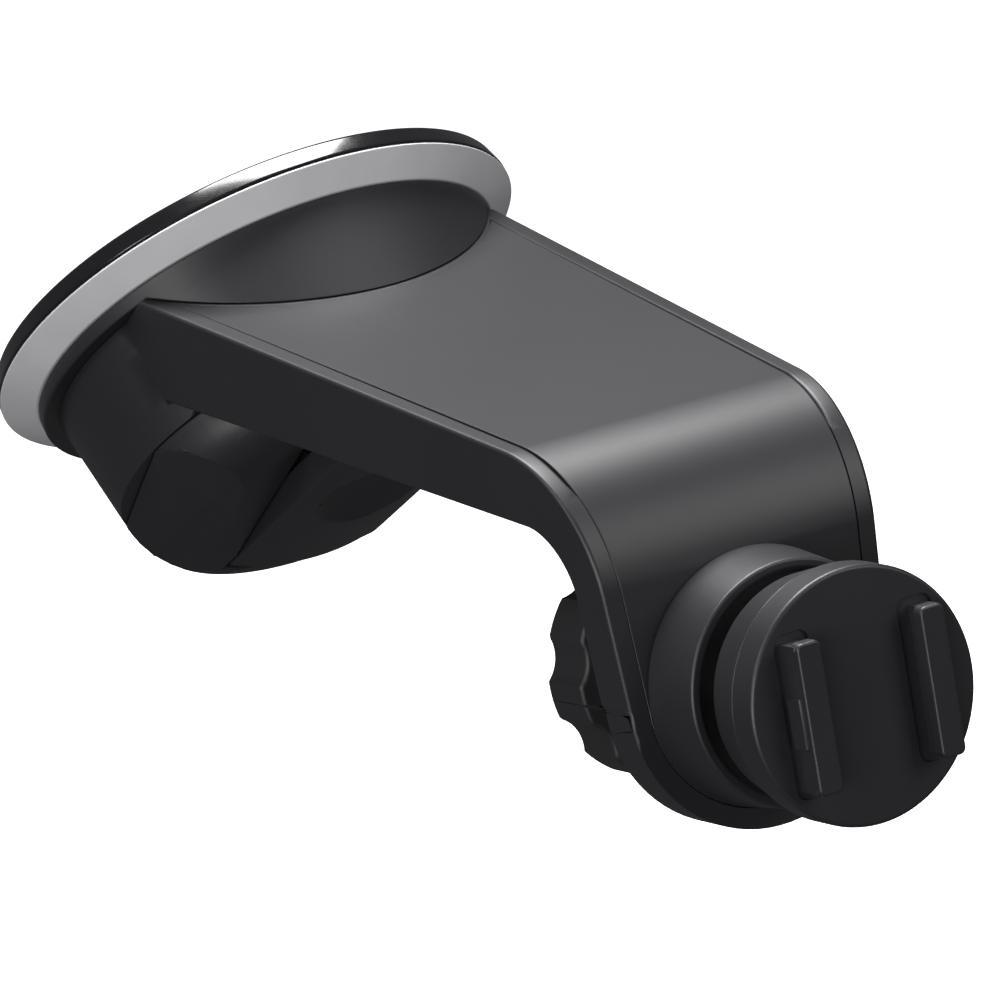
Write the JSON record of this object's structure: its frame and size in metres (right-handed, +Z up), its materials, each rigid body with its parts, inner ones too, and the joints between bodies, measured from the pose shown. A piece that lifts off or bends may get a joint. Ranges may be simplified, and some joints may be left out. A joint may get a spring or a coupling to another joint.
{
  "type": "dash camera windscreen mount",
  "caption": "Windscreen bracket for a dash camera: suction cup with cam lever, bent arm, clamped ball joint and round slide plate.",
  "frame": {"origin": "centre of the suction pad's contact face, on the glass", "axes": "+X along the arm, out of the camera plate's face; +Z up in use; the glass rises towards +X, so the pad's outward normal leans towards -X"},
  "size_m": [0.1537, 0.0664, 0.0723],
  "materials": {
    "pad_rubber": "glossy",
    "pale_ring": "satin",
    "black_plastic": "fine satin",
    "grip_plastic": "matt",
    "inner_plastic": "matt",
    "liner_plastic": "matt",
    "steel": "zinc plated",
    "brass": "turned"
  },
  "bodies": {
    "mount": {"suction_pad": "pad_rubber", "pad_backing_ring": "pale_ring", "cup_housing": "black_plastic", "housing_screws": "steel", "arm_body": "black_plastic", "arm_cover": "black_plastic", "base_cover": "black_plastic", "cam_plate": "steel", "return_spring": "steel", "socket_ring": "black_plastic", "ring_screws": "steel", "thread_insert": "brass"},
    "stem": {"pull_rod": "steel", "pad_core": "inner_plastic"},
    "lever": {"suction_lever": "black_plastic", "lever_pin": "steel", "pin_washers": "steel"},
    "clamp": {"pressure_cup": "inner_plastic"},
    "knob": {"knob_body": "grip_plastic", "knob_cap": "grip_plastic", "clamp_screw": "steel", "knob_washer": "steel"},
    "yaw_liner": {"front_liner": "liner_plastic"},
    "pitch_liner": {"rear_liner": "liner_plastic"},
    "ball": {"ball_stud": "inner_plastic", "plate_back": "black_plastic", "plate_screws": "steel", "slide_plate": "black_plastic"}
  },
  "joints": [
    {"name": "stem_slide", "type": "slide", "parent": "mount", "child": "stem", "axis": [-0.5621, 0, 0.8271], "range_m": [0, 0.002]},
    {"name": "lever_flip", "type": "hinge", "parent": "stem", "child": "lever", "pos_m": [0.01321, 0, -0.01944], "axis": [0, 1, 0], "range_deg": [0, 45]},
    {"name": "clamp_slide", "type": "slide", "parent": "mount", "child": "clamp", "axis": [1, 0, 0], "range_m": [-0.0005, 0]},
    {"name": "knob_turn", "type": "hinge", "parent": "clamp", "child": "knob", "pos_m": [0.0838, 0, -0.0374], "axis": [1, 0, 0], "range_deg": [-180, 0]},
    {"name": "ball_yaw", "type": "hinge", "parent": "mount", "child": "yaw_liner", "pos_m": [0.1035, 0, -0.0374], "axis": [0, 0, 1], "range_deg": [-7, 7]},
    {"name": "ball_pitch", "type": "hinge", "parent": "yaw_liner", "child": "pitch_liner", "pos_m": [0.1035, 0, -0.0374], "axis": [0, 1, 0], "range_deg": [-7, 7]},
    {"name": "ball_roll", "type": "hinge", "parent": "pitch_liner", "child": "ball", "pos_m": [0.1035, 0, -0.0374], "axis": [1, 0, 0], "continuous": true}
  ],
  "couplings": [
    {"joint": "stem_slide", "follows": "lever_flip", "m_per_rad": 0.00229},
    {"joint": "clamp_slide", "follows": "knob_turn", "m_per_rad": 0.000159}
  ]
}
